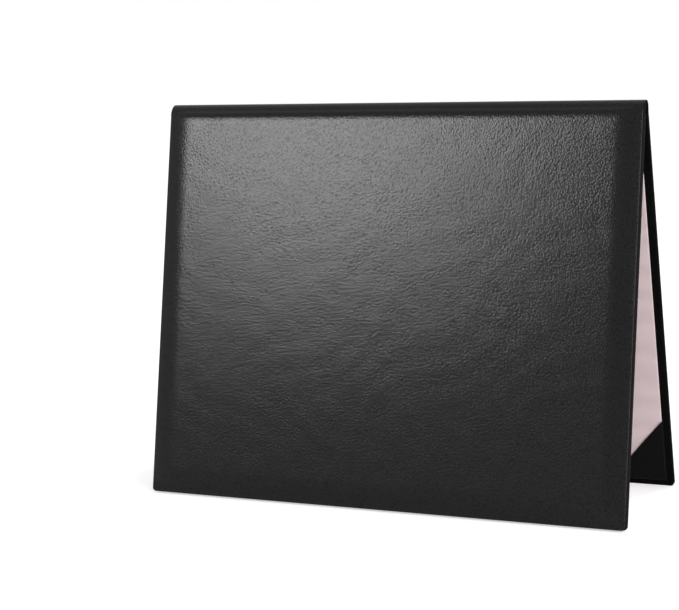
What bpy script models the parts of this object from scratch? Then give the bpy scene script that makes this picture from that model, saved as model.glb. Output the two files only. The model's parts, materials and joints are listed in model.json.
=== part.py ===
# A landscape diploma cover, standing as a tent on its two long edges.
#
# Two leatherette covered boards hang from a rounded leatherette spine. The front one is padded.
# The back one carries a raised card panel with a watered lining, a clear sheet and four corner
# pockets, and the front one is lined with the same watered sheet, pasted down.
# Metres, +X along the spine, the padded front towards -Y, +Z up, origin on the ground under
# the middle. A cover is drawn in its own frame, hung from its crease: x along the spine, down
# towards the free edge, and depth from its outer face towards its inside.
import math

import bmesh
import bpy
from mathutils import Vector

MM = 0.001

# Overall size, closed
COVER_WIDTH = 304.8 * MM
COVER_HEIGHT = 241.3 * MM
CORNER_RADIUS = 2.2 * MM
TENT_HALF_ANGLE = math.radians(11.7)

# Sheets and boards
SKIN = 0.4 * MM
BOARD = 2.0 * MM
CARD = 0.4 * MM
LINING = 0.15 * MM
PASTED_LINING = 0.25 * MM
CLEAR_SHEET = 0.1 * MM
POCKET_SKIN = 0.3 * MM

# Leatherette wrap
OUTER_ARRIS = 1.0 * MM
INNER_ARRIS = 0.7 * MM
TURN_IN = 14.0 * MM
HINGE_LAP = 16.0 * MM
BORDER = 4.2 * MM

# Foam pad of the front cover
PAD_EDGE = 3.0 * MM
PAD_CROWN = 2.6 * MM
PAD_DOME = 1.0 * MM
SIDE_SHOULDER = 14.0 * MM
SIDE_ROUND = 2.0
HEAD_SHOULDER = 3.0 * MM
HEAD_ROUND = 3.0
PAD_HEAD = 1.5 * MM

# Spine
SPINE_RISE = 6.8 * MM
SPINE_FRONT_ROUND = 2.0
SPINE_BACK_ROUND = 3.4
SPINE_CARD = 0.6 * MM
SPINE_CARD_HEAD = 2.2 * MM

# Corner pockets and clear sheet
FOOT_POCKET_ALONG_EDGE = 33.0 * MM
FOOT_POCKET_ALONG_SIDE = 39.5 * MM
FOOT_POCKET_BULGE = 0.5 * MM
HEAD_POCKET_ALONG_EDGE = 36.0 * MM
HEAD_POCKET_ALONG_SIDE = 26.0 * MM
HEAD_POCKET_BULGE = 1.8 * MM
SHEET_INSET = 1.2 * MM

# Clearances
GLUE_LINE = 0.1 * MM
PAD_CLEARANCE = 0.3 * MM
CREASE_GAP = 0.3 * MM
BUTT_GAP = 0.3 * MM
CLOSED_CLEARANCE = 0.2 * MM

# Facets
ARRIS_STEPS = 3
CORNER_STEPS = 3
SHOULDER_STEPS = 6
HEAD_STEPS = 4
FACE_COLUMNS = 14
FACE_ROWS = 11
ARCH_STEPS = 16
BULGE_STEPS = 8
MERGE = 0.001 * MM

# Worked out from the sizes above
PANEL_LENGTH = COVER_HEIGHT - SPINE_RISE
HEAD = CREASE_GAP / 2
BOARD_HEAD = HEAD + SKIN + BUTT_GAP
BOARD_INSET = SKIN + GLUE_LINE
PAD_TOP = SKIN + PAD_CLEARANCE
BACK_THICK = SKIN + GLUE_LINE + BOARD + GLUE_LINE + SKIN
FRONT_THICK = PAD_TOP + PAD_EDGE + GLUE_LINE + BOARD + GLUE_LINE + SKIN
LINED_DEPTH = GLUE_LINE + CARD + GLUE_LINE + LINING
SHEET_DEPTH = LINED_DEPTH + GLUE_LINE + CLEAR_SHEET
POCKET_DEPTH = SHEET_DEPTH + GLUE_LINE + POCKET_SKIN
PASTED_DEPTH = GLUE_LINE + PASTED_LINING
SPINE_WIDTH = FRONT_THICK + BACK_THICK + POCKET_DEPTH + PASTED_DEPTH + CLOSED_CLEARANCE

# A cover's inside faces +Y on the front and -Y on the back
FRONT = 1
BACK = -1


def clear_scene():
    for thing in list(bpy.data.objects):
        bpy.data.objects.remove(thing, do_unlink=True)


def material(name, colour, roughness, alpha=1.0):
    made = bpy.data.materials.new(name)
    made.use_nodes = True
    shader = made.node_tree.nodes["Principled BSDF"]
    shader.inputs["Base Color"].default_value = (*colour, 1.0)
    shader.inputs["Roughness"].default_value = roughness
    shader.inputs["Metallic"].default_value = 0.0
    shader.inputs["Alpha"].default_value = alpha
    return made


def joint_frame(name, parent, location, turn):
    """An empty on a crease, turned about the spine's line."""
    made = bpy.data.objects.new(name, None)
    bpy.context.scene.collection.objects.link(made)
    made.parent = parent
    made.location = location
    made.rotation_euler = (turn, 0.0, 0.0)
    return made


def add_object(name, bm, parent, finish):
    """Turns a bmesh into one named object, hung on its body's frame."""
    bmesh.ops.remove_doubles(bm, verts=bm.verts, dist=MERGE)
    mesh = bpy.data.meshes.new(name)
    bm.to_mesh(mesh)
    bm.free()
    if finish:
        mesh.materials.append(finish)
    mesh.shade_smooth()
    mesh.set_sharp_from_angle(angle=math.radians(35))
    made = bpy.data.objects.new(name, mesh)
    bpy.context.scene.collection.objects.link(made)
    made.parent = parent
    return made


def extruded(name, outlines, push, parent, finish):
    """Each closed outline of points, pushed along one vector into a solid."""
    bm = bmesh.new()
    for outline in outlines:
        near = [bm.verts.new(point) for point in outline]
        far = [bm.verts.new(Vector(point) + Vector(push)) for point in outline]
        bm.faces.new(near)
        bm.faces.new(far[::-1])
        for k in range(len(near)):
            bm.faces.new((near[k], far[k], far[k - 1], near[k - 1]))
    bmesh.ops.recalc_face_normals(bm, faces=bm.faces)
    return add_object(name, bm, parent, finish)


def plate(name, side, across, along, depths, parent, finish):
    """A flat sheet with square corners: its half width, its ends and its two faces."""
    corners = ((-across, along[0]), (across, along[0]), (across, along[1]), (-across, along[1]))
    outline = [(x, side * depths[0], -down) for x, down in corners]
    push = (0.0, side * (depths[1] - depths[0]), 0.0)
    return extruded(name, [outline], push, parent, finish)


def cut_away(made, cutter):
    """Takes a hidden cutter out of a piece."""
    cutter.hide_render = True
    cutter.display_type = "WIRE"
    cut = made.modifiers.new("cut", "BOOLEAN")
    cut.operation = "DIFFERENCE"
    cut.object = cutter


def shoulder(reach, width, power):
    """Rounded rise of the pad from its edge, steepest at the edge and level at its width."""
    return 1 - (1 - min(reach / width, 1.0)) ** power


def crown(x, down):
    """How far the padded face stands out: a shoulder on all four sides and a slight dome."""
    sides = shoulder(COVER_WIDTH / 2 - abs(x), SIDE_SHOULDER, SIDE_ROUND)
    foot = shoulder(PANEL_LENGTH - down, SIDE_SHOULDER, SIDE_ROUND)
    head = shoulder(down, HEAD_SHOULDER, HEAD_ROUND)
    across = 1 - (2 * x / COVER_WIDTH) ** 2
    along = 1 - (2 * down / PANEL_LENGTH - 1) ** 2
    return sides * foot * head * (PAD_CROWN + PAD_DOME * across * along)


def padded_face(x, down):
    return -crown(x, down)


def pad_face(x, down):
    return PAD_TOP - crown(x, down)


def flat(depth):
    return lambda x, down: depth


def spread(start, end, steps):
    return [start + (end - start) * k / steps for k in range(steps + 1)]


def crowned_grid(head):
    """Rows and columns of a crowned face: close together on the shoulder, then even."""
    rows = spread(head, HEAD_SHOULDER, HEAD_STEPS)
    rows += spread(HEAD_SHOULDER, PANEL_LENGTH - SIDE_SHOULDER, FACE_ROWS)[1:]
    reach = COVER_WIDTH / 2 - SIDE_SHOULDER
    return rows, spread(-reach, reach, FACE_COLUMNS)


def flat_grid(head, inset):
    reach = COVER_WIDTH / 2 - inset
    return [head, PANEL_LENGTH - inset], [-reach, reach]


def edge_line(inset, rows, columns):
    """The cover's edge at one inset: down the left side, round the foot and up the right side."""
    half = COVER_WIDTH / 2 - inset
    low = PANEL_LENGTH - inset
    bend = max(CORNER_RADIUS - inset, 0.0)
    quarter = [math.pi / 2 * k / CORNER_STEPS for k in range(1, CORNER_STEPS)]
    left = [(-half, down) for down in rows[:-1]] + [(-half, low - bend)]
    corner = [(-half + bend - bend * math.cos(t), low - bend + bend * math.sin(t)) for t in quarter]
    foot = [(-half + bend, low)] + [(x, low) for x in columns[1:-1]] + [(half - bend, low)]
    mirrored = [(-x, down) for x, down in reversed(left + corner)]
    return left + corner + foot + mirrored


def arris(inset, depth, radius, outer):
    """Quarter round between a cover's face and its edge wall, as (inset, depth) pairs."""
    turns = [math.pi / 2 * k / ARRIS_STEPS for k in range(ARRIS_STEPS + 1)]
    if outer:
        return [(inset + radius * (1 - math.sin(t)), depth + radius * (1 - math.cos(t))) for t in turns]
    return [(inset + radius * (1 - math.cos(t)), depth - radius * (1 - math.sin(t))) for t in turns]


def ring(bm, side, inset, face, rows, columns):
    line = edge_line(inset, rows, columns)
    return [bm.verts.new((x, side * face(x, down), -down)) for x, down in line]


def join_rings(bm, rings):
    for outer, inner in zip(rings, rings[1:]):
        for a, b, c, d in zip(outer, outer[1:], inner[1:], inner):
            bm.faces.new((a, b, c, d))


def face_grid(bm, side, face, rows, columns):
    """The face inside the edge rings. Gives back its row at the crease end."""
    grid = [[bm.verts.new((x, side * face(x, down), -down)) for x in columns] for down in rows]
    for upper, lower in zip(grid, grid[1:]):
        for a, b, c, d in zip(upper, upper[1:], lower[1:], lower):
            bm.faces.new((a, b, c, d))
    return grid[0]


def wrap(name, side, thick, face, crowned, parent, finish):
    """Leatherette over the outer face, round three edges and turned in on the inside."""
    bm = bmesh.new()
    if crowned:
        rows, columns = crowned_grid(HEAD)
        insets = spread(SIDE_SHOULDER, OUTER_ARRIS, SHOULDER_STEPS)
    else:
        rows, columns = flat_grid(HEAD, CORNER_RADIUS)
        insets = [CORNER_RADIUS, OUTER_ARRIS]
    face_grid(bm, side, face, rows, columns)
    rings = [ring(bm, side, inset, face, rows, columns) for inset in insets]
    edge = arris(0.0, 0.0, OUTER_ARRIS, True)[1:] + arris(0.0, thick, INNER_ARRIS, False)
    edge.append((TURN_IN, thick))
    rings += [ring(bm, side, inset, flat(depth), rows, columns) for inset, depth in edge]
    join_rings(bm, rings)
    if side == FRONT:
        bmesh.ops.reverse_faces(bm, faces=bm.faces)
    made = add_object(name, bm, parent, finish)
    wall = made.modifiers.new("wall", "SOLIDIFY")
    wall.thickness = SKIN
    wall.offset = -1
    wall.use_even_offset = True
    return made


def board(name, side, top, parent):
    """A board inside the wrap, its arrises eased to the leatherette round it."""
    bm = bmesh.new()
    rows, columns = flat_grid(BOARD_HEAD, BOARD_INSET)
    edge = arris(BOARD_INSET, top, OUTER_ARRIS - SKIN, True)
    edge += arris(BOARD_INSET, top + BOARD, INNER_ARRIS - SKIN, False)
    rings = [ring(bm, side, inset, flat(depth), rows, columns) for inset, depth in edge]
    join_rings(bm, rings)
    bm.faces.new(rings[0])
    bm.faces.new(rings[-1])
    bm.faces.new([line[-1] for line in rings] + [line[0] for line in reversed(rings)])
    bmesh.ops.recalc_face_normals(bm, faces=bm.faces)
    return add_object(name, bm, parent, FINISH["greyboard"])


def foam_pad(parent):
    """The pad between the front board and its leatherette, crowned and thinned to its edges."""
    bm = bmesh.new()
    rows, columns = crowned_grid(PAD_HEAD)
    head_row = face_grid(bm, FRONT, pad_face, rows, columns)
    insets = spread(SIDE_SHOULDER, PAD_TOP + OUTER_ARRIS, SHOULDER_STEPS)
    rings = [ring(bm, FRONT, inset, pad_face, rows, columns) for inset in insets]
    edge = arris(PAD_TOP, PAD_TOP, OUTER_ARRIS, True)[1:] + [(PAD_TOP, PAD_TOP + PAD_EDGE)]
    rings += [ring(bm, FRONT, inset, flat(depth), rows, columns) for inset, depth in edge]
    join_rings(bm, rings)
    bm.faces.new(rings[-1])
    left = [line[0] for line in reversed(rings)]
    right = [line[-1] for line in rings]
    bm.faces.new(head_row + right[1:] + left[:-1])
    bmesh.ops.recalc_face_normals(bm, faces=bm.faces)
    return add_object("front_pad", bm, parent, FINISH["foam"])


def turn_in_cutter(name, side, thick, parent):
    """The space that the wrap's side turn-ins take from a hinge lap."""
    inner = COVER_WIDTH / 2 - TURN_IN - BUTT_GAP
    outer = COVER_WIDTH / 2 + BUTT_GAP
    outlines = []
    for left, right in ((-outer, -inner), (inner, outer)):
        corners = ((left, 0.0), (right, 0.0), (right, 2 * HINGE_LAP), (left, 2 * HINGE_LAP))
        outlines.append([(x, side * (thick - SKIN - GLUE_LINE), -down) for x, down in corners])
    push = (0.0, side * 2 * SKIN, 0.0)
    return extruded(name, outlines, push, parent, None)


def hinge_lap(name, side, thick, parent):
    """The spine's inner leatherette where it closes a cover's head and laps its inside."""
    across = COVER_WIDTH / 2 - OUTER_ARRIS
    outline = [
        (BOARD_INSET, HEAD),
        (thick, HEAD),
        (thick, HINGE_LAP),
        (thick - SKIN, HINGE_LAP),
        (thick - SKIN, HEAD + SKIN),
        (BOARD_INSET, HEAD + SKIN),
    ]
    points = [(-across, side * depth, -down) for depth, down in outline]
    made = extruded(name, [points], (2 * across, 0.0, 0.0), parent, FINISH["leatherette"])
    cut_away(made, turn_in_cutter(name + "_cutter", side, thick, parent))
    return made


def arch_point(side, turn, power, inset):
    """A point of half the spine's section, a superellipse, or one laid inside it.

    The turn runs from 0 at the crease to a quarter at the crown. A power of 2 is an ellipse,
    and a higher one keeps the side upright longer before it rolls over.
    """
    half = SPINE_WIDTH / 2
    across = math.cos(turn) ** (2 / power)
    up = math.sin(turn) ** (2 / power)
    normal = Vector((across ** (power - 1) / half, up ** (power - 1) / SPINE_RISE)).normalized()
    y = half * across - normal.x * inset
    return -side * y - half, SPINE_RISE * up - normal.y * inset


def arch_line(head, inset):
    """The section from the front crease to the back one, starting a little above each."""
    line = []
    for side, power in ((FRONT, SPINE_FRONT_ROUND), (BACK, SPINE_BACK_ROUND)):
        start = math.asin((head / SPINE_RISE) ** (power / 2))
        turns = spread(start, math.pi / 2, ARCH_STEPS // 2)
        half_line = [arch_point(side, turn, power, inset) for turn in turns]
        line += half_line if side == FRONT else half_line[-2::-1]
    return line


def arch(name, head, inset, thickness, parent, finish):
    """A curved strip of the spine, laid inside its outer face."""
    outer = arch_line(head, inset)
    inner = arch_line(head, inset + thickness)[::-1]
    points = [(-COVER_WIDTH / 2, y, z) for y, z in outer + inner]
    return extruded(name, [points], (COVER_WIDTH, 0.0, 0.0), parent, finish)


def panel_cutter(parent):
    """The lined panel and its clear sheet, with a glue line round them, for the pockets to wrap."""
    across = COVER_WIDTH / 2 - BORDER + GLUE_LINE
    along = (BORDER - GLUE_LINE, PANEL_LENGTH - BORDER + GLUE_LINE)
    depths = (BACK_THICK, BACK_THICK + POCKET_DEPTH - POCKET_SKIN)
    return plate("panel_cutter", BACK, across, along, depths, parent, None)


def pocket_outline(edge_leg, side_leg, bulge):
    """Right triangle past the panel's corner, as (along edge, along side), its slope bulged."""
    slack = GLUE_LINE + POCKET_SKIN
    length = math.hypot(edge_leg, side_leg)
    points = [(-slack, -slack), (edge_leg, -slack)]
    for t in spread(0.0, 1.0, BULGE_STEPS):
        push = bulge * math.sin(math.pi * t)
        along_edge = edge_leg * (1 - t) + push * side_leg / length
        along_side = side_leg * t + push * edge_leg / length
        points.append((along_edge, along_side))
    points.append((-slack, side_leg))
    return points


def corner_pocket(name, right, at_spine, cutter, parent):
    """One corner pocket: a triangle over the clear sheet whose legs wrap the panel's edges."""
    if at_spine:
        legs = (HEAD_POCKET_ALONG_EDGE, HEAD_POCKET_ALONG_SIDE, HEAD_POCKET_BULGE)
    else:
        legs = (FOOT_POCKET_ALONG_EDGE, FOOT_POCKET_ALONG_SIDE, FOOT_POCKET_BULGE)
    outline = []
    for along_edge, along_side in pocket_outline(*legs):
        x = COVER_WIDTH / 2 - BORDER - along_edge
        down = BORDER + along_side if at_spine else PANEL_LENGTH - BORDER - along_side
        outline.append((x if right else -x, BACK * (BACK_THICK + GLUE_LINE), -down))
    push = (0.0, BACK * (POCKET_DEPTH - GLUE_LINE), 0.0)
    made = extruded(name, [outline], push, parent, FINISH["pocket"])
    cut_away(made, cutter)
    return made


def lined_plate(name, side, start, thickness, inset, parent, finish):
    """A sheet that covers a cover's inside within its leatherette border."""
    across = COVER_WIDTH / 2 - BORDER - inset
    along = (BORDER + inset, PANEL_LENGTH - BORDER - inset)
    return plate(name, side, across, along, (start, start + thickness), parent, finish)


def back_cover(frame):
    wrap("back_cover_skin", BACK, BACK_THICK, flat(0.0), False, frame, FINISH["leatherette"])
    board("back_board", BACK, SKIN + GLUE_LINE, frame)
    hinge_lap("back_hinge_lap", BACK, BACK_THICK, frame)
    card_start = BACK_THICK + GLUE_LINE
    lined_plate("liner_card", BACK, card_start, CARD, 0.0, frame, FINISH["card"])
    lining_start = card_start + CARD + GLUE_LINE
    lined_plate("back_lining", BACK, lining_start, LINING, 0.0, frame, FINISH["lining"])
    sheet_start = lining_start + LINING + GLUE_LINE
    lined_plate("clear_sheet", BACK, sheet_start, CLEAR_SHEET, SHEET_INSET, frame, FINISH["clear"])
    cutter = panel_cutter(frame)
    corner_pocket("pocket_head_left", False, True, cutter, frame)
    corner_pocket("pocket_head_right", True, True, cutter, frame)
    corner_pocket("pocket_foot_left", False, False, cutter, frame)
    corner_pocket("pocket_foot_right", True, False, cutter, frame)


def spine(frame):
    arch("spine_skin", HEAD, 0.0, SKIN, frame, FINISH["leatherette"])
    card_inset = SKIN + GLUE_LINE
    arch("spine_card", SPINE_CARD_HEAD, card_inset, SPINE_CARD, frame, FINISH["card"])
    strip_inset = card_inset + SPINE_CARD + GLUE_LINE
    arch("spine_inner_strip", HEAD, strip_inset, SKIN, frame, FINISH["leatherette"])


def front_cover(frame):
    wrap("front_cover_skin", FRONT, FRONT_THICK, padded_face, True, frame, FINISH["leatherette"])
    foam_pad(frame)
    board("front_board", FRONT, PAD_TOP + PAD_EDGE + GLUE_LINE, frame)
    hinge_lap("front_hinge_lap", FRONT, FRONT_THICK, frame)
    lining_start = FRONT_THICK + GLUE_LINE
    lined_plate("front_lining", FRONT, lining_start, PASTED_LINING, 0.0, frame, FINISH["lining"])


def foot_point(side, thick):
    """Centre of a cover's inner arris at its free edge, as (y, z) from the spine's middle."""
    down = PANEL_LENGTH - INNER_ARRIS
    depth = thick - INNER_ARRIS
    sine, cosine = math.sin(TENT_HALF_ANGLE), math.cos(TENT_HALF_ANGLE)
    y = SPINE_WIDTH / 2 + down * sine - depth * cosine
    return -side * y, -down * cosine - depth * sine


def tent_lean():
    """Turn of the whole tent that puts both free edges, unlike in thickness, on the ground."""
    front_y, front_z = foot_point(FRONT, FRONT_THICK)
    back_y, back_z = foot_point(BACK, BACK_THICK)
    return math.atan2(front_z - back_z, back_y - front_y)


def stand_on_ground(root):
    """Moves the tent so that its box is centred over the origin and rests on the ground."""
    bpy.context.view_layer.update()
    points = []
    for thing in bpy.data.objects:
        if thing.type == "MESH" and not thing.hide_render:
            points += [thing.matrix_world @ vertex.co for vertex in thing.data.vertices]
    across = [point.y for point in points]
    root.location.y -= (min(across) + max(across)) / 2
    root.location.z -= min(point.z for point in points)


FINISH = {}


def build():
    FINISH["leatherette"] = material("leatherette", (0.014, 0.014, 0.015), 0.45)
    FINISH["pocket"] = material("pocket_leatherette", (0.02, 0.02, 0.021), 0.5)
    FINISH["greyboard"] = material("greyboard", (0.3, 0.28, 0.25), 0.9)
    FINISH["foam"] = material("foam", (0.8, 0.79, 0.74), 0.95)
    FINISH["card"] = material("card", (0.62, 0.6, 0.56), 0.8)
    FINISH["lining"] = material("watered_lining", (0.8, 0.67, 0.68), 0.4)
    FINISH["clear"] = material("clear_film", (0.9, 0.92, 0.93), 0.08, 0.2)

    # The back crease carries the tree: back cover, spine on it, front cover on the spine
    root = joint_frame("back_crease", None, (0.0, 0.0, 0.0), tent_lean())
    back = joint_frame("back_cover_frame", root, (0.0, 0.0, 0.0), TENT_HALF_ANGLE)
    front = joint_frame("front_crease", root, (0.0, -SPINE_WIDTH, 0.0), -TENT_HALF_ANGLE)
    back_cover(back)
    spine(root)
    front_cover(front)
    stand_on_ground(root)


clear_scene()
build()
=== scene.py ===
# A padded diploma cover that stands as a tent, dressed for its picture
import json
import math

import bmesh
import bpy
import numpy as np
from mathutils import Matrix


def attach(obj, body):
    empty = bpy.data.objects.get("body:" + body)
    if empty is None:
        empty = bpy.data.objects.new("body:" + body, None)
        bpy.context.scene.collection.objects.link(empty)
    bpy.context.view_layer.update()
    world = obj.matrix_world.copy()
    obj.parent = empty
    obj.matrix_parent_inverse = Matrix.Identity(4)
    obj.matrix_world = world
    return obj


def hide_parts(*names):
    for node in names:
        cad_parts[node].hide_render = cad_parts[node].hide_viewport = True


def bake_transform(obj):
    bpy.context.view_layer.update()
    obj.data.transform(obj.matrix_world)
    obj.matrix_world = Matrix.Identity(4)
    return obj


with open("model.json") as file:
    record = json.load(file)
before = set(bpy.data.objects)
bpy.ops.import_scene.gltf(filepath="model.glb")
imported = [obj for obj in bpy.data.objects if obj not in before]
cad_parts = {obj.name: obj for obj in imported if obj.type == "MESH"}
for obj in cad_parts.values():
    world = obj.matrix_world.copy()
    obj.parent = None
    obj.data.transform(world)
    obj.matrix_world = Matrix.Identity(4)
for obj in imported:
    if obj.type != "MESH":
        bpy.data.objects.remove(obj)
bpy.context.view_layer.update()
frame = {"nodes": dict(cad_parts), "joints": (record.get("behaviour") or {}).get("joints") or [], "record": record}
joints = {joint["name"]: joint for joint in frame["joints"]}
mounts = {mount["name"]: mount for mount in frame["record"]["mounts"]}
mm = 0.001
quarter = math.pi / 2
print("frame loaded")

sizes = {  # shared by every piece, and as in the frame, but for the border, which is 4.2 mm there
    "width": 304.8 * mm,
    "length": 234.5 * mm,  # crease to free edge
    "cornerRadius": 2.4 * mm,
    "outerArris": 0.5 * mm,
    "innerArris": 0.7 * mm,
    "frontThick": 6.3 * mm,
    "backThick": 3.0 * mm,
    "border": 4.7 * mm,
}

spineLook = {
    "rise": 6.8 * mm,
    "edge": 1.8 * mm,  # thickness of its turned ends
    "frontPowers": (1.5, 2.0),  # slopes back from the pad
    "backPowers": (3.4, 3.4),  # upright, then rolls over
    "samples": 400,
}


# Places on the covers and the spine


def coverFrame(creaseName, faceName, outwards, powers):
    # Crease point, way down the cover and way in through it, all from the record
    axis = np.array(mounts[faceName]["axis"])
    return {
        "crease": np.array(joints[creaseName]["pos_m"]),
        "down": np.array([0.0, axis[2], -axis[1]]),
        "inwards": -axis if outwards else axis,
        "powers": powers,
    }


def addSpine(cover, other):
    # Half the spine's section, from the cover's crease to the crown: a superellipse, where across
    # and up, each to its own power, add to 1. The normals are its gradient, turned in.
    acrossPower, upPower = cover["powers"]
    middle = (cover["crease"] + other["crease"]) / 2
    reach = cover["crease"] - middle
    half = np.linalg.norm(reach)
    outwards = reach / half
    upwards = np.array([0.0, -outwards[2], outwards[1]]) * np.sign(outwards[1])
    turn = np.linspace(0.0, quarter, spineLook["samples"])
    across = np.cos(turn) ** (2 / acrossPower)
    up = np.sin(turn) ** (2 / upPower)
    points = middle + np.outer(across * half, outwards) + np.outer(up * spineLook["rise"], upwards)
    gradient = np.outer(acrossPower * across ** (acrossPower - 1) / half, outwards)
    gradient += np.outer(upPower * up ** (upPower - 1) / spineLook["rise"], upwards)
    steps = np.linalg.norm(np.diff(points, axis=0), axis=1)
    cover["arc"] = np.concatenate([[0.0], np.cumsum(steps)])
    cover["arcPoints"] = points
    cover["arcInwards"] = -gradient / np.linalg.norm(gradient, axis=1)[:, None]


front = coverFrame("front_crease", "front_inside_face", False, spineLook["frontPowers"])
back = coverFrame("back_crease", "back_face", True, spineLook["backPowers"])
addSpine(front, back)
addSpine(back, front)


def alongArc(cover, values, distance):
    # Values of the section's table at distances above the crease
    return np.stack([np.interp(distance, cover["arc"], values[:, k]) for k in range(3)], axis=-1)


def place(cover, x, depth, down):
    # x along the spine, down from the crease, and depth in from the outer face.
    # Below nought, down runs up over the spine's section instead, to its crown.
    x, depth, down = np.broadcast_arrays(x, depth, down)
    above = np.maximum(-down, 0.0)
    onCover = cover["crease"] + np.maximum(down, 0.0)[..., None] * cover["down"]
    onSpine = (down < 0.0)[..., None]
    base = np.where(onSpine, alongArc(cover, cover["arcPoints"], above), onCover)
    inwards = np.where(onSpine, alongArc(cover, cover["arcInwards"], above), cover["inwards"])
    points = base + depth[..., None] * inwards
    points[..., 0] += x
    return points


# Meshes


def gridFaces(rows, columns, start=0, ring=False):
    # Quads between neighbouring rows and columns of a grid of vertices; a ring closes its columns
    spans = columns if ring else columns - 1
    low = np.arange(rows - 1)[:, None] * columns + start
    left = np.arange(spans)[None, :]
    right = (left + 1) % columns
    quads = [low + left, low + right, low + columns + right, low + columns + left]
    return np.stack(quads, axis=-1).reshape(-1, 4)


def makePiece(name, points, faces, material, weld=0.002 * mm, caps=(), inner=None, innerFrom=0):
    # One object with its place in its mesh, doubles merged and faces turned outwards.
    # Faces from innerFrom on wear the inner material, where there is one.
    mesh = bpy.data.meshes.new(name)
    mesh.from_pydata(points.reshape(-1, 3).tolist(), [], faces.tolist() + [list(cap) for cap in caps])
    if inner:
        wearsInner = np.arange(len(mesh.polygons)) >= innerFrom
        mesh.polygons.foreach_set("material_index", wearsInner.astype(np.int32))
    work = bmesh.new()
    work.from_mesh(mesh)
    bmesh.ops.remove_doubles(work, verts=work.verts, dist=weld)
    bmesh.ops.recalc_face_normals(work, faces=work.faces)
    work.to_mesh(mesh)
    work.free()
    mesh.materials.append(material)
    if inner:
        mesh.materials.append(inner)
    mesh.shade_smooth()
    piece = bpy.data.objects.new(name, mesh)
    bpy.context.scene.collection.objects.link(piece)
    return piece


def giveWall(piece, thickness):
    # A wall on an open surface, half of it to each side, applied at once
    wall = piece.modifiers.new("wall", "SOLIDIFY")
    wall.thickness = thickness
    wall.offset = 0.0
    wall.use_even_offset = True
    graph = bpy.context.evaluated_depsgraph_get()
    solid = bpy.data.meshes.new_from_object(piece.evaluated_get(graph))
    piece.modifiers.clear()
    piece.data = solid


# Nodes


def newMaterial(name, colour, roughness, specular):
    material = bpy.data.materials.new(name)
    material.use_nodes = True
    shader = material.node_tree.nodes["Principled BSDF"]
    shader.inputs["Base Color"].default_value = (*colour, 1.0)
    shader.inputs["Roughness"].default_value = roughness
    shader.inputs["Specular IOR Level"].default_value = specular
    return material, shader


def join(material, source, target):
    material.node_tree.links.new(source, target)


def addNode(material, kind, settings=None, **links):
    # A node with its settings; each link names an input, by its name without spaces, and its source
    node = material.node_tree.nodes.new(kind)
    for key, value in (settings or {}).items():
        if hasattr(node, key):
            setattr(node, key, value)
        else:
            node.inputs[key].default_value = value
    for key, source in links.items():
        target = next(socket for socket in node.inputs if socket.name.replace(" ", "") == key)
        join(material, source, target)
    return node


def objectCoords(material):
    return addNode(material, "ShaderNodeTexCoord").outputs["Object"]


def noise(material, coords, scale, detail):
    return addNode(material, "ShaderNodeTexNoise", {"Scale": scale, "Detail": detail}, Vector=coords)


def scaled(material, source, factor, shift=0.0):
    # Source times a factor, plus a shift
    node = addNode(material, "ShaderNodeMath", {"operation": "MULTIPLY_ADD"})
    join(material, source, node.inputs[0])
    node.inputs[1].default_value = factor
    node.inputs[2].default_value = shift
    return node.outputs[0]


def added(material, first, second):
    node = addNode(material, "ShaderNodeMath", {"operation": "ADD"})
    join(material, first, node.inputs[0])
    join(material, second, node.inputs[1])
    return node.outputs[0]


def mixed(material, factor, low, high):
    # From the low colour to the high one
    node = addNode(material, "ShaderNodeMix", {"data_type": "RGBA"})
    join(material, factor, node.inputs[0])
    node.inputs[6].default_value = (*low, 1.0)
    node.inputs[7].default_value = (*high, 1.0)
    return node.outputs[2]


def bumped(material, height, distance, strength=1.0, **links):
    # Normal of a surface that rises by the distance, where the height rises by one
    settings = {"Strength": strength, "Distance": distance}
    return addNode(material, "ShaderNodeBump", settings, Height=height, **links).outputs[0]


# Materials


grainLook = {  # shared by the leathers
    "bendScale": 0.3,  # slow noise that moves the pebbles, beside their own number a metre
    "bendReach": 0.2,  # in pebbles
    "smoothness": 0.2,
    "creaseScale": 2.2,  # fine noise that creases them
    "creaseHeight": 0.2,
    "valleyRoughness": 1.6,  # share of the roughness spread that a whole pebble away adds
}

outerLeather = {
    "colour": (0.0022, 0.0022, 0.0024),
    "roughness": 0.19,
    "roughnessSpread": 0.06,
    "specular": 0.26,
    "valleys": 0.54,  # how much of their shine the valleys lose
    "pebblesPerMetre": 950.0,
    "pebbleHeight": 0.071 * mm,
    "swellPerMetre": 60.0,
    "swellHeight": 0.05 * mm,
    "stretch": (1.0, 1.0, 0.85),  # the grain is longer along the roll of the material
    "stretchTurn": math.radians(35.0),
}

turnedLeather = {  # pulled tight over the edges, so smoother in grain; its near-absent gloss is partly a duller finish and partly painted shade, keeping the edges dark whatever they face
    "colour": (0.0048, 0.0048, 0.005),
    "roughness": 0.45,
    "roughnessSpread": 0.1,
    "specular": 0.004,
    "valleys": 0.35,
    "pebblesPerMetre": 900.0,
    "pebbleHeight": 0.04 * mm,
    "swellPerMetre": 90.0,
    "swellHeight": 0.08 * mm,
    "stretch": (1.0, 1.0, 0.8),
    "stretchTurn": 0.0,
}

pocketLeather = {
    "colour": (0.0028, 0.0028, 0.003),
    "roughness": 0.42,
    "roughnessSpread": 0.08,
    "specular": 0.07,
    "valleys": 0.35,
    "pebblesPerMetre": 1100.0,
    "pebbleHeight": 0.03 * mm,
    "swellPerMetre": 90.0,
    "swellHeight": 0.1 * mm,
    "stretch": (1.0, 1.0, 0.85),
    "stretchTurn": 0.0,
}


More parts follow.
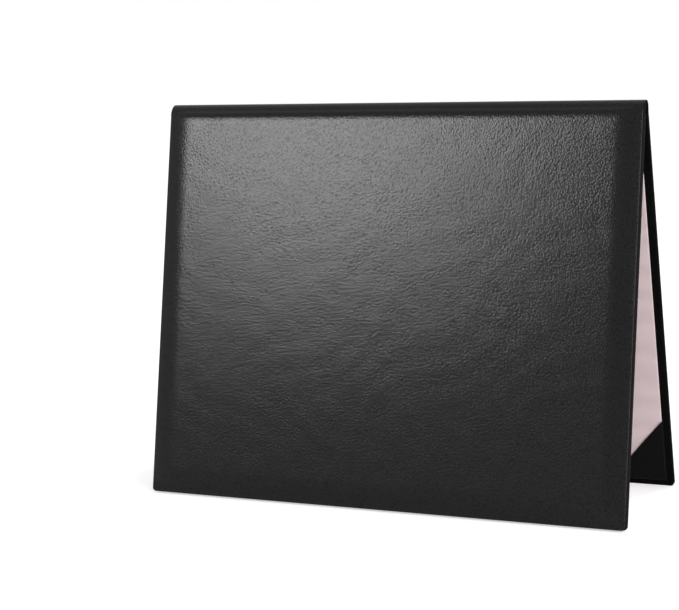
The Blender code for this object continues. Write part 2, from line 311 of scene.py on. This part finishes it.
def leatherMaterial(name, look):
    # Rounded pebbles are one less the distance to the nearest cell centre. A fine noise creases
    # them, a slow one swells the sheet, and the valleys are rougher and less glossy than the tops.
    material, shader = newMaterial(name, look["colour"], look["roughness"], look["specular"])
    pebbles = look["pebblesPerMetre"]
    coords = objectCoords(material)
    drawn = {"Rotation": (0.0, look["stretchTurn"], 0.0), "Scale": look["stretch"]}
    grain = addNode(material, "ShaderNodeMapping", drawn, Vector=coords).outputs[0]
    bend = noise(material, grain, pebbles * grainLook["bendScale"], 1.0)
    shift = {"operation": "SCALE", "Scale": grainLook["bendReach"] / pebbles}
    push = addNode(material, "ShaderNodeVectorMath", shift)
    join(material, bend.outputs["Color"], push.inputs[0])
    moved = addNode(material, "ShaderNodeVectorMath", {"operation": "ADD"})
    join(material, grain, moved.inputs[0])
    join(material, push.outputs[0], moved.inputs[1])
    rounding = {"feature": "SMOOTH_F1", "Scale": pebbles, "Smoothness": grainLook["smoothness"]}
    cells = addNode(material, "ShaderNodeTexVoronoi", rounding, Vector=moved.outputs[0])
    away = cells.outputs["Distance"]
    crease = noise(material, grain, pebbles * grainLook["creaseScale"], 2.0).outputs["Fac"]
    swell = noise(material, coords, look["swellPerMetre"], 2.0).outputs["Fac"]
    rounded = scaled(material, away, -1.0, 1.0)
    height = added(material, rounded, scaled(material, crease, grainLook["creaseHeight"]))
    soft = bumped(material, swell, look["swellHeight"])
    join(material, bumped(material, height, look["pebbleHeight"], Normal=soft), shader.inputs["Normal"])
    low = look["roughness"] - look["roughnessSpread"] / 2
    spread = look["roughnessSpread"] * grainLook["valleyRoughness"]
    join(material, scaled(material, away, spread, low), shader.inputs["Roughness"])
    tops = scaled(material, away, -look["valleys"], 1.0)
    worn = scaled(material, crease, look["valleys"], -0.5 * look["valleys"])
    join(material, added(material, tops, worn), shader.inputs["Specular Tint"])
    return material


liningLook = {
    # The pink tint of both colours is painted light, taken from how the lining looks in the shade of the tent; the
    # cloth itself is white.
    "colour": (0.8, 0.67, 0.68),
    "deepColour": (0.74, 0.61, 0.62),
    "roughness": 0.42,
    "glossTurn": 0.12,  # how far the bands turn the roughness, half of it to each side
    "specular": 0.35,
    "sheen": 0.25,
    "sheenRoughness": 0.4,
    "stretch": (0.35, 1.0, 1.0),
    "bandScale": 18.75,  # about 60 bands a metre
    "bandBend": 9.0,
    "bandBendScale": 1.6,
    "ribScale": 254.6473,  # about 810 ribs a metre
    "ribHeight": 0.012 * mm,
}


def liningMaterial(name, look):
    # Watered bands are a wave whose phase is bent by slow noise, stretched along the cloth.
    # They darken the colour a little and turn its gloss. Fine ribs cross the sheet.
    material, shader = newMaterial(name, look["colour"], look["roughness"], look["specular"])
    coords = objectCoords(material)
    drawn = addNode(material, "ShaderNodeMapping", {"Scale": look["stretch"]}, Vector=coords)
    wave = {"bands_direction": "Z", "Scale": look["bandScale"], "Distortion": look["bandBend"],
            "Detail": 2.0, "Detail Scale": look["bandBendScale"]}
    bands = addNode(material, "ShaderNodeTexWave", wave, Vector=drawn.outputs[0]).outputs["Fac"]
    wave = {"bands_direction": "Z", "Scale": look["ribScale"]}
    ribs = addNode(material, "ShaderNodeTexWave", wave, Vector=coords).outputs["Fac"]
    # Both colours mixed here carry the painted pink light tint.
    colour = mixed(material, bands, look["deepColour"], look["colour"])
    join(material, colour, shader.inputs["Base Color"])
    gloss = scaled(material, bands, -look["glossTurn"], look["roughness"] + look["glossTurn"] / 2)
    join(material, gloss, shader.inputs["Roughness"])
    join(material, bumped(material, ribs, look["ribHeight"]), shader.inputs["Normal"])
    shader.inputs["Sheen Weight"].default_value = look["sheen"]
    shader.inputs["Sheen Roughness"].default_value = look["sheenRoughness"]
    return material


filmLook = {
    # Pale bluish white, shown through the cover as painted reflection
    "colour": (0.9, 0.9, 0.94),
    "roughness": 0.07,
    "specular": 0.5,
    "edgeCover": 0.5,  # seen along the film, where its white is painted reflection
    "faceCover": 0.02,  # seen straight on
    "edgePower": 5.0,
    "wavesPerMetre": 14.0,
    "waveHeight": 0.3 * mm,
}


def filmMaterial(name, look):
    # Clear film: see-through face on, more covered towards grazing, faintly wavy; its pale bluish white there is
    # painted reflection beside the shader's own gloss.
    # Its cover is a power of how far the surface turns away, and a little more.
    material, shader = newMaterial(name, look["colour"], look["roughness"], look["specular"])
    coords = objectCoords(material)
    away = addNode(material, "ShaderNodeLayerWeight", {"Blend": 0.5})
    power = addNode(material, "ShaderNodeMath", {"operation": "POWER"})
    join(material, away.outputs["Facing"], power.inputs[0])
    power.inputs[1].default_value = look["edgePower"]
    cover = scaled(material, power.outputs[0], look["edgeCover"], look["faceCover"])
    join(material, cover, shader.inputs["Alpha"])
    waves = noise(material, coords, look["wavesPerMetre"], 1.0).outputs["Fac"]
    join(material, bumped(material, waves, look["waveHeight"]), shader.inputs["Normal"])
    return material


boardLook = {
    "colour": (0.3, 0.28, 0.25),
    "fibreShade": 0.8,
    "roughness": 0.9,
    "specular": 0.3,
    "fibresPerMetre": 900.0,
    "fibreHeight": 0.05 * mm,
    "fibreStrength": 0.6,
}


def boardMaterial(name, look):
    # Pressed board: fibres are a fine noise in the colour and a slight roughness of the face
    material, shader = newMaterial(name, look["colour"], look["roughness"], look["specular"])
    fibres = noise(material, objectCoords(material), look["fibresPerMetre"], 4.0).outputs["Fac"]
    shaded = [look["fibreShade"] * part for part in look["colour"]]
    join(material, mixed(material, fibres, shaded, look["colour"]), shader.inputs["Base Color"])
    face = bumped(material, fibres, look["fibreHeight"], look["fibreStrength"])
    join(material, face, shader.inputs["Normal"])
    return material


leatherette = leatherMaterial("pebbledLeatherette", outerLeather)
turnedLeatherette = leatherMaterial("turnedLeatherette", turnedLeather)
pocketLeatherette = leatherMaterial("thinLeatherette", pocketLeather)
wateredLining = liningMaterial("wateredLining", liningLook)
clearFilm = filmMaterial("clearFilm", filmLook)
greyBoard = boardMaterial("greyBoard", boardLook)
print("materials made")


# Leatherette round the covers and over the spine


padLook = {
    "height": 2.6 * mm,
    "dome": 1.0 * mm,
    "sideShoulder": 16.0 * mm,
    "sideRound": 2.0,
    "headSlope": (0.0, 0.2, 0.5, 0.52, 0.36, 0.2, 0.11, 0.0),  # where the sheet spans from the spine
    "headPlaces": (-4.4, -3.4, -2.2, -1.3, -0.4, 0.4, 1.6, 5.0),  # to the pad, in mm below the crease
    "headSamples": 200,
    "ripple": 0.03 * mm,  # soft unevenness of the foam under the sheet
    "rippleAcross": (190.0, 1.7, 83.0),  # radians a metre, its bend, and radians a metre of the bend
    "rippleAlong": (230.0, 2.1, 71.0),
    "rippleStart": 0.8,
}


def shoulder(reach, width, power):
    # Rounded rise from an edge: one less the power of what is left of its width
    return 1 - (1 - np.clip(reach / width, 0.0, 1.0)) ** power


def ripple(x, down):
    # Waves both ways, each bent by slower waves the other way
    pace, bend, bendPace = padLook["rippleAcross"]
    across = np.sin(x * pace + bend * np.sin(down * bendPace))
    pace, bend, bendPace = padLook["rippleAlong"]
    along = np.sin(down * pace + bend * np.sin(x * bendPace + padLook["rippleStart"]))
    return padLook["ripple"] * (across * along)


def crown(x, down):
    # Height of the padded face: its shoulders times a slight dome, with a faint ripple.
    # Over the crease its rise is the running sum of a short table of slopes.
    sides = shoulder(sizes["width"] / 2 - abs(x), padLook["sideShoulder"], padLook["sideRound"])
    foot = shoulder(sizes["length"] - down, padLook["sideShoulder"], padLook["sideRound"])
    run = np.linspace(padLook["headPlaces"][0], padLook["headPlaces"][-1], padLook["headSamples"])
    rise = np.cumsum(np.interp(run, padLook["headPlaces"], padLook["headSlope"]))
    head = np.interp(down / mm, run, rise / rise[-1])
    across = 1 - (2 * x / sizes["width"]) ** 2
    along = 1 - (2 * down / sizes["length"] - 1) ** 2
    dome = padLook["dome"] * across * np.clip(along, 0.0, 1.0)
    return sides * foot * head * (padLook["height"] + dome + ripple(x, down))


def noCrown(x, down):
    return 0.0 * x * down


wrapLook = {
    "pitch": 2.2 * mm,
    "spineRows": 22,
    "spineFoot": 0.7 * mm,  # above the crease
    "creasePlaces": (-0.3 * mm, 0.15 * mm, 0.4 * mm),
    "headStart": 0.8 * mm,
    "headRows": 10,
    "plainBand": 6.0 * mm,  # from the edge to the face's grid, on the plain cover
    "bandRings": 12,
    "arrisSteps": 6,
    "tightSteps": 3,  # of the arris, next to the wall, that wear the tight leatherette
    "cornerPoints": 6,
    "drawnBands": 3,  # how far from the edge rows and columns are drawn out, in bands
    "turnIn": (1.4 * mm, 2.4 * mm, 4.2 * mm, 7.0 * mm, 14.0 * mm),
    "mitreDepth": 0.14 * mm,  # fold line at the free corners of the turned-in border
    "mitreWidth": 0.5 * mm,
}


def wrapRows(cover, band):
    # From the spine's crown over the crease, closer together there, and down to the foot's band
    spine = np.linspace(-cover["arc"][-1], -wrapLook["spineFoot"], wrapLook["spineRows"])
    headEnd = padLook["headPlaces"][-1] * mm
    head = np.linspace(wrapLook["headStart"], headEnd, wrapLook["headRows"])
    low = sizes["length"] - band
    steps = int(round((low - headEnd) / wrapLook["pitch"]))
    face = np.linspace(headEnd, low, steps + 1)[1:]
    return np.concatenate([spine, wrapLook["creasePlaces"], head, face])


def edgeLine(inset, rows, columns, band):
    # Down the left side, round the foot with its corner radius, and up the right side.
    # Rows and columns near the corners are drawn out, by a smooth weight, as the inset shrinks.
    half = sizes["width"] / 2 - inset
    low = sizes["length"] - inset
    bend = max(sizes["cornerRadius"] - inset, 0.0)
    drawn = wrapLook["drawnBands"] * band
    rowWeight = np.clip((rows - rows[-1]) / drawn + 1, 0.0, 1.0) ** 2
    side = rows + rowWeight * (low - bend - rows[-1])
    columnWeight = np.clip((abs(columns) - columns[-1]) / drawn + 1, 0.0, 1.0) ** 2
    foot = columns + np.sign(columns) * columnWeight * (half - bend - columns[-1])
    turn = np.linspace(0.0, quarter, wrapLook["cornerPoints"] + 2)[1:-1]
    corner = np.stack([-half + bend - bend * np.cos(turn), low - bend + bend * np.sin(turn)], axis=-1)
    left = np.stack([np.full(len(side), -half), side], axis=-1)
    bottom = np.stack([foot, np.full(len(foot), low)], axis=-1)
    rightCorner = corner[::-1] * [-1, 1]
    right = left[::-1] * [-1, 1]
    return np.concatenate([left, corner, bottom, rightCorner, right])


def wrap(name, cover, thick, height, band):
    # Face inside, then rings outwards over shoulder and arris, and inwards over wall and turn-in.
    # A ring is one inset from the edge. Over the spine the wall is only as deep as its turned end.
    rows = wrapRows(cover, band)
    reach = sizes["width"] / 2 - band
    columns = np.linspace(-reach, reach, int(round(2 * reach / wrapLook["pitch"])) + 1)
    x, down = np.meshgrid(columns, rows)
    face = place(cover, x, -height(x, down), down).reshape(-1, 3)
    outer = sizes["outerArris"]
    inner = sizes["innerArris"]
    turn = np.linspace(0.0, quarter, wrapLook["arrisSteps"] + 1)

    flat = np.linspace(band, outer, wrapLook["bandRings"])
    insets = np.concatenate([flat, outer * (1 - np.sin(turn[1:]))])
    depths = np.concatenate([0 * flat, outer * (1 - np.cos(turn[1:]))])
    rings = []
    for inset, depth in zip(insets, depths):
        x, down = edgeLine(inset, rows, columns, band).T
        rings.append(place(cover, x, depth - height(x, down), down))
    bands = len(rings) - 1 - wrapLook["tightSteps"]  # that wear the outer leatherette

    turnIn = np.array(wrapLook["turnIn"])
    insets = np.concatenate([inner * (1 - np.cos(turn)), turnIn])
    rises = np.concatenate([inner * (1 - np.sin(turn)), 0 * turnIn])
    for inset, rise in zip(insets, rises):
        x, down = edgeLine(inset, rows, columns, band).T
        wall = np.where(down > 0.0, thick, spineLook["edge"])
        mitre = (inset >= sizes["cornerRadius"]) * wrapLook["mitreDepth"]
        gap = sizes["width"] / 2 - abs(x) - (sizes["length"] - down)
        fold = mitre * np.exp(-((gap / wrapLook["mitreWidth"]) ** 2)) * (down > sizes["length"] / 2)
        rings.append(place(cover, x, wall - rise - fold, down))

    faces = [gridFaces(len(rows), len(columns)), gridFaces(len(rings), len(rings[0]), len(face))]
    points = np.concatenate([face, *rings])
    # From next to the arris on, the faces wear the turned leatherette, whose near-absent gloss is partly painted
    # shade.
    tight = len(faces[0]) + bands * (len(rings[0]) - 1)
    faces = np.concatenate(faces)
    return makePiece(name, points, faces, leatherette, inner=turnedLeatherette, innerFrom=tight)


bendLook = {
    "below": 0.25 * mm,  # where the sheet starts to bend, below the crease
    "reach": 3.0 * mm,  # up from there into the spine
}


def blendAtCrease(piece, cover):
    start = place(cover, 0.0, 0.0, bendLook["below"])
    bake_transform(piece)


frontWrap = wrap("frontLeatherette", front, sizes["frontThick"], crown, padLook["sideShoulder"])
blendAtCrease(frontWrap, front)
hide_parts("front_cover_skin", "front_pad", "spine_skin")
backWrap = wrap("backLeatherette", back, sizes["backThick"], noCrown, wrapLook["plainBand"])
blendAtCrease(backWrap, back)
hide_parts("back_cover_skin", "spine_card")
print("covers wrapped")


# Folded ends of the spine


endLook = {
    "outer": 0.25 * mm,  # in from the covers' ends
    "inner": 2.3 * mm,
    "under": 0.9 * mm,  # under the spine's outer face
    "clear": 0.45 * mm,  # above the creases
    "bend": 0.6 * mm,
    "bendStart": 0.3,  # share of the bend where the rim has its middle
    "rimMiddle": 0.93,  # outline beside the full one
    "rimEdge": 0.8,
    "overlap": 0.3 * mm,
    "archSteps": 22,
    "sideSteps": 10,
    "nearest": 0.05 * mm,  # of the arch to the inner side
}


def endOutline(cover, thick):
    # Under the arch from the crease to the crown, then down the cover's inner face carried upwards
    run = np.linspace(endLook["clear"], cover["arc"][-1], endLook["archSteps"])
    arch = place(cover, 0.0, endLook["under"], -run)
    foot = place(cover, 0.0, thick - endLook["bend"], 0.0) - endLook["clear"] * cover["down"]
    along = -((arch - foot) @ cover["down"])
    height = np.linspace(along[-1] - endLook["overlap"], 0.0, endLook["sideSteps"])
    inside = foot - height[:, None] * cover["down"]
    keep = (arch - foot) @ cover["inwards"] < -endLook["nearest"]
    return np.concatenate([arch[keep], inside])


def spineEnds(name):
    # Each outline is shrunk a little towards its middle at its two faces, which rounds its rim
    outer, bend = endLook["outer"], endLook["bend"]
    profile = (
        (endLook["inner"], endLook["rimEdge"]),
        (endLook["inner"], 1.0),
        (outer + bend, 1.0),
        (outer + endLook["bendStart"] * bend, endLook["rimMiddle"]),
        (outer, endLook["rimEdge"]),
    )
    points = []
    faces = []
    caps = []
    for cover, thick in ((front, sizes["frontThick"]), (back, sizes["backThick"])):
        outline = endOutline(cover, thick)
        middle = outline.mean(axis=0)
        count = len(outline)
        for sign in (-1, 1):
            start = sum(len(loop) for loop in points)
            last = start + (len(profile) - 1) * count
            for inset, share in profile:
                loop = middle + (outline - middle) * share
                loop[:, 0] = sign * (sizes["width"] / 2 - inset)
                points.append(loop)
            faces.append(gridFaces(len(profile), count, start, ring=True))
            caps += [range(start + count - 1, start - 1, -1), range(last, last + count)]
    piece = makePiece(name, np.concatenate(points), np.concatenate(faces), turnedLeatherette, caps=caps)
    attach(piece, "spine")


spineEnds("spineEndFolds")
print("spine ends folded")


# Inner strip of the hinge, in two halves that meet under the crown


stripLook = {
    "endGap": 2.4 * mm,  # from the spine's ends
    "lap": 16.0 * mm,
    "proud": 0.16 * mm,  # above the turned-in border
    "headLine": 0.2 * mm,  # below the crease
    "bend": 0.8 * mm,
    "bendSteps": 6,
    "under": 0.1 * mm,  # inside the spine's turned end
    "wallFoot": 0.6 * mm,  # where the wall's rows stop, before the spine
    "spineFoot": 0.7 * mm,  # above the crease
    "lapRows": 8,
    "wallRows": 3,
    "spineRows": 24,
    "columns": 60,
    "thickness": 0.3 * mm,
}


def hingeStrip(name, cover, thick, nodes):
    # One path carried along x: down the cover's inside, round its head and up inside the spine
    look = stripLook
    top = thick + look["proud"]
    bend = look["bend"]
    head = look["headLine"]
    under = spineLook["edge"] + look["under"]
    turn = np.linspace(0.0, quarter, look["bendSteps"] + 1)
    depth = np.concatenate([
        np.full(look["lapRows"], top),
        top - bend + bend * np.cos(turn),
        np.linspace(top - bend, under + look["wallFoot"], look["wallRows"] + 1)[1:],
        np.full(look["spineRows"], under),
    ])
    down = np.concatenate([
        np.linspace(look["lap"], head + bend, look["lapRows"] + 1)[:-1],
        head + bend - bend * np.sin(turn),
        np.full(look["wallRows"], head),
        np.linspace(-look["spineFoot"], -cover["arc"][-1], look["spineRows"]),
    ])
    reach = sizes["width"] / 2 - look["endGap"]
    x = np.linspace(-reach, reach, look["columns"])
    points = place(cover, x[None, :], depth[:, None], down[:, None])
    piece = makePiece(name, points, gridFaces(len(depth), len(x)), turnedLeatherette)
    giveWall(piece, look["thickness"])
    blendAtCrease(piece, cover)
    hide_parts(*nodes)


frontStripNodes = ["front_hinge_lap", "spine_inner_strip"]
hingeStrip("frontHingeStrip", front, sizes["frontThick"], frontStripNodes)
hingeStrip("backHingeStrip", back, sizes["backThick"], ["back_hinge_lap"])
print("hinge strips laid")


# Lined panels


backPanelLook = {
    "bottom": 3.05 * mm,
    "top": 3.75 * mm,
    "edgeRound": 0.3 * mm,
    "fold": 0.6 * mm,  # of the flat cloth, down over each edge
}

frontPanelLook = {
    "bottom": 6.33 * mm,
    "top": 6.65 * mm,
    "edgeRound": 0.15 * mm,
    "fold": 0.3 * mm,
}

panelShape = {  # shared by the two panels
    "corner": 0.6 * mm,
    "leastCorner": 0.05 * mm,
    "rings": (0.1 * mm, 3.0 * mm),  # on the level face: in from the round edge, and in from the side
    "bendPoints": 6,
}


def roundedLoop(half, low, high, inset):
    # Closed rectangle about x = 0, between two distances down, with round corners
    bend = max(panelShape["corner"] - inset, panelShape["leastCorner"])
    turn = np.linspace(0.0, quarter, panelShape["bendPoints"])
    loops = []
    for k, (sx, far) in enumerate(((1, high), (-1, high), (-1, low), (1, low))):
        angle = turn + k * quarter
        sy = 1 if far == high else -1
        x = sx * (half - inset - bend) + bend * np.cos(angle)
        down = far - sy * (inset + bend) + bend * np.sin(angle)
        loops.append(np.stack([x, down], axis=-1))
    return np.concatenate(loops)


def linedPanel(name, cover, body, look, nodes):
    # Cloth over a flat panel: rings in from its foot, up the wall, over a round edge, then level
    half = sizes["width"] / 2 - sizes["border"]
    low = sizes["border"]
    high = sizes["length"] - sizes["border"]
    top, edgeRound = look["top"], look["edgeRound"]
    near, far = panelShape["rings"]
    turn = np.linspace(0.0, quarter, panelShape["bendPoints"])
    insets = np.concatenate([[0.0], edgeRound * (1 - np.cos(turn)), [edgeRound + near, far]])
    depths = np.concatenate([[look["bottom"]], top - edgeRound * (1 - np.sin(turn)), [top, top]])
    loops = []
    for inset, depth in zip(insets, depths):
        x, down = roundedLoop(half, low, high, inset).T
        loops.append(place(cover, x, depth, down))
    count = len(loops[0])
    caps = (range(count - 1, -1, -1), range(count * (len(loops) - 1), count * len(loops)))
    faces = gridFaces(len(loops), count, ring=True)
    piece = makePiece(name, np.concatenate(loops), faces, wateredLining, caps=caps)
    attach(piece, body)
    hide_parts(*nodes)


backPanelNodes = ["liner_card", "back_lining"]
linedPanel("backPanelLining", back, "back_cover", backPanelLook, backPanelNodes)
linedPanel("frontPanelLining", front, "front_cover", frontPanelLook, ["front_lining"])
print("panels lined")


# Corner pockets


pocketLook = {
    "footLegs": (32.1 * mm, 38.4 * mm, 0.4 * mm),  # along the edge, along the side, bulge of the slope
    "headLegs": (34.8 * mm, 25.1 * mm, 1.8 * mm),
    "top": 4.32 * mm,
    "bottom": 3.06 * mm,
    "skirt": 0.75 * mm,  # how far it runs past the panel's edge
    "foldReach": 0.25 * mm,  # how far in from that edge it starts to round down
    "hem": 4.0 * mm,
    "hemRise": 0.05 * mm,
    "hemStep": 0.35 * mm,
    "sag": 0.1 * mm,
    "sagReach": 8.0 * mm,
    "steps": 46,
    "edgePacking": 1.6,  # power of the share along the edge
    "sidePacking": 2,
    "thickness": 0.28 * mm,
    "weld": 0.004 * mm,
    "sharpFrom": math.radians(50),
}


def pocket(name, right, atSpine, node):
    # A height over a triangle. For each a along the edge, b runs from the skirt to the slope,
    # both packed closer towards the folds. It is level over the panel and rounds down past it.
    look = pocketLook
    legA, legB, bulge = look["headLegs" if atSpine else "footLegs"]
    longest = math.hypot(legA, legB)
    skirt = look["skirt"]
    steps = np.linspace(0.0, 1.0, look["steps"])
    a = -skirt + (legA + skirt) * steps ** look["edgePacking"]
    slope = np.clip(a / legA, 0.0, 1.0)
    far = (1 - slope) * legB + bulge * np.sin(math.pi * slope) * longest / legA
    b = -skirt + (far[:, None] + skirt) * steps[None, :] ** look["sidePacking"]
    a = np.repeat(a[:, None], b.shape[1], axis=1)
    edge = np.minimum(a, b)  # distance in from the panel's nearer edge
    fold = np.clip((edge + skirt) / (skirt + look["foldReach"]), 0.0, 1.0)
    drop = 1 - np.sqrt(np.clip(1 - (1 - fold) ** 2, 0.0, 1.0))
    toSlope = (far[:, None] - b) * legA / longest
    hem = 0.5 + 0.5 * np.tanh((look["hem"] - toSlope) / look["hemStep"])
    sag = look["sag"] * np.clip(edge / look["sagReach"], 0.0, 1.0) * (1 - hem)
    depth = look["top"] + hem * look["hemRise"] * (edge > 0) - sag
    depth = depth - drop * (look["top"] - look["bottom"])
    x = sizes["width"] / 2 - sizes["border"] - a
    down = sizes["border"] + b if atSpine else sizes["length"] - sizes["border"] - b
    points = place(back, x if right else -x, depth, down)
    piece = makePiece(name, points, gridFaces(*b.shape), pocketLeatherette, weld=look["weld"])
    giveWall(piece, look["thickness"])
    piece.data.set_sharp_from_angle(angle=look["sharpFrom"])
    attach(piece, "back_cover")
    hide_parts(node)


for side, right in (("left", False), ("right", True)):
    for end, atSpine in (("head", True), ("foot", False)):
        pocket(end + side.capitalize() + "Pocket", right, atSpine, "pocket_" + end + "_" + side)
print("pockets folded")


# Frame nodes that stay


nodeMaterials = {"clear_sheet": clearFilm, "back_board": greyBoard, "front_board": greyBoard}
for nodeName, material in nodeMaterials.items():
    frame["nodes"][nodeName].data.materials.clear()
    frame["nodes"][nodeName].data.materials.append(material)


# Camera, lights and floor


cameraLook = {
    "place": (0.455337, -1.051224, 0.313179),
    "yaw": math.radians(25.349),
    "pitch": math.radians(9.7366),
    "roll": math.radians(2.4441),
    "lens": 101.68,
    "sensor": 36.0,
}


def makeCamera(look):
    # Axes from yaw, pitch and roll: ahead, then right and down turned about it
    yaw, pitch, roll = look["yaw"], look["pitch"], look["roll"]
    level = np.array([math.cos(yaw), math.sin(yaw), 0.0])
    share = math.cos(pitch)
    ahead = np.array([-math.sin(yaw) * share, math.cos(yaw) * share, -math.sin(pitch)])
    below = np.cross(ahead, level)
    right = math.cos(roll) * level + math.sin(roll) * below
    down = -math.sin(roll) * level + math.cos(roll) * below
    data = bpy.data.cameras.new("camera")
    data.sensor_width = look["sensor"]
    data.sensor_fit = "HORIZONTAL"
    data.lens = look["lens"]
    camera = bpy.data.objects.new("camera", data)
    turned = Matrix(np.stack([right, -down, -ahead], axis=1).tolist()).to_4x4()
    turned.translation = look["place"]
    camera.matrix_world = turned
    bpy.context.scene.collection.objects.link(camera)
    bpy.context.scene.camera = camera


studioLook = {
    "aim": (0.0, -0.03, 0.12),
    "world": 0.62,
    "floorColour": (0.86, 0.86, 0.86),
    "floorGlow": 0.48,
    "floorRadius": 6.0,
    "floorSides": 96,
    "floorDrop": 0.02 * mm,
}

lamps = {  # azimuth and elevation in degrees, distance and radius in metres, and radiance
    "keyLight": (-30.5, 24.3, 1.8, 0.37, 3.0),
    "keySheen": (-30.5, 24.3, 1.85, 0.38, 15.5),
    "fillLight": (57.0, 14.0, 2.4, 1.0, 4.0),
    "backLight": (150.0, 38.0, 2.0, 0.4, 4.0),
}


def roundLight(name, azimuth, elevation, distance, radius, radiance):
    # A round softbox aimed at the object. Its power is radiance times its area times pi
    turn, lift = math.radians(azimuth), math.radians(elevation)
    share = math.cos(lift)
    away = np.array([math.sin(turn) * share, -math.cos(turn) * share, math.sin(lift)])
    data = bpy.data.lights.new(name, "AREA")
    data.shape = "DISK"
    data.size = 2 * radius
    data.energy = radiance * math.pi * math.pi * radius**2
    light = bpy.data.objects.new(name, data)
    bpy.context.scene.collection.objects.link(light)
    light.location = np.array(studioLook["aim"]) + away * distance
    side = np.cross([0.0, 0.0, 1.0], away)
    side = side / np.linalg.norm(side)
    turned = Matrix(np.stack([side, np.cross(away, side), away], axis=1).tolist())
    light.rotation_euler = turned.to_euler()
    return light


def backgroundRays(tree):
    # One for camera, glossy and transmission rays, and nought for the rest
    path = tree.nodes.new("ShaderNodeLightPath")
    total = path.outputs["Is Camera Ray"]
    for output in ("Is Glossy Ray", "Is Transmission Ray"):
        larger = tree.nodes.new("ShaderNodeMath")
        larger.operation = "MAXIMUM"
        tree.links.new(total, larger.inputs[0])
        tree.links.new(path.outputs[output], larger.inputs[1])
        total = larger.outputs[0]
    return total


def makeWorld(look):
    # White where it is seen, and dimmer where it only lights
    world = bpy.data.worlds.new("studio")
    bpy.context.scene.world = world
    world.use_nodes = True
    tree = world.node_tree
    background = tree.nodes["Background"]
    background.inputs["Color"].default_value = (1.0, 1.0, 1.0, 1.0)
    strength = tree.nodes.new("ShaderNodeMapRange")
    tree.links.new(backgroundRays(tree), strength.inputs["Value"])
    strength.inputs["To Min"].default_value = look["world"]
    strength.inputs["To Max"].default_value = 1.0
    tree.links.new(strength.outputs[0], background.inputs["Strength"])


def makeFloor(look):
    # A wide plain disc. What the camera sees of it glows a little, so that it meets the background
    sides = look["floorSides"]
    radius = look["floorRadius"]
    turn = np.linspace(0.0, 2 * math.pi, sides + 1)[:-1]
    level = np.full(sides, -look["floorDrop"])
    points = np.stack([radius * np.cos(turn), radius * np.sin(turn), level], axis=-1)
    mesh = bpy.data.meshes.new("floor")
    mesh.from_pydata(points.tolist(), [], [list(range(sides))])
    floor = bpy.data.objects.new("floor", mesh)
    bpy.context.scene.collection.objects.link(floor)
    material, shader = newMaterial("paleFloor", look["floorColour"], 0.9, 0.0)
    glow = scaled(material, backgroundRays(material.node_tree), look["floorGlow"])
    shader.inputs["Emission Color"].default_value = (1.0, 1.0, 1.0, 1.0)
    join(material, glow, shader.inputs["Emission Strength"])
    mesh.materials.append(material)


makeCamera(cameraLook)
makeWorld(studioLook)
makeFloor(studioLook)
for name, lamp in lamps.items():
    light = roundLight(name, *lamp)
    # The sheen lamp adds to the highlight of the leatherette alone
    light.visible_diffuse = name != "keySheen"
bpy.context.scene.view_settings.view_transform = "Standard"
print("camera and lights set")
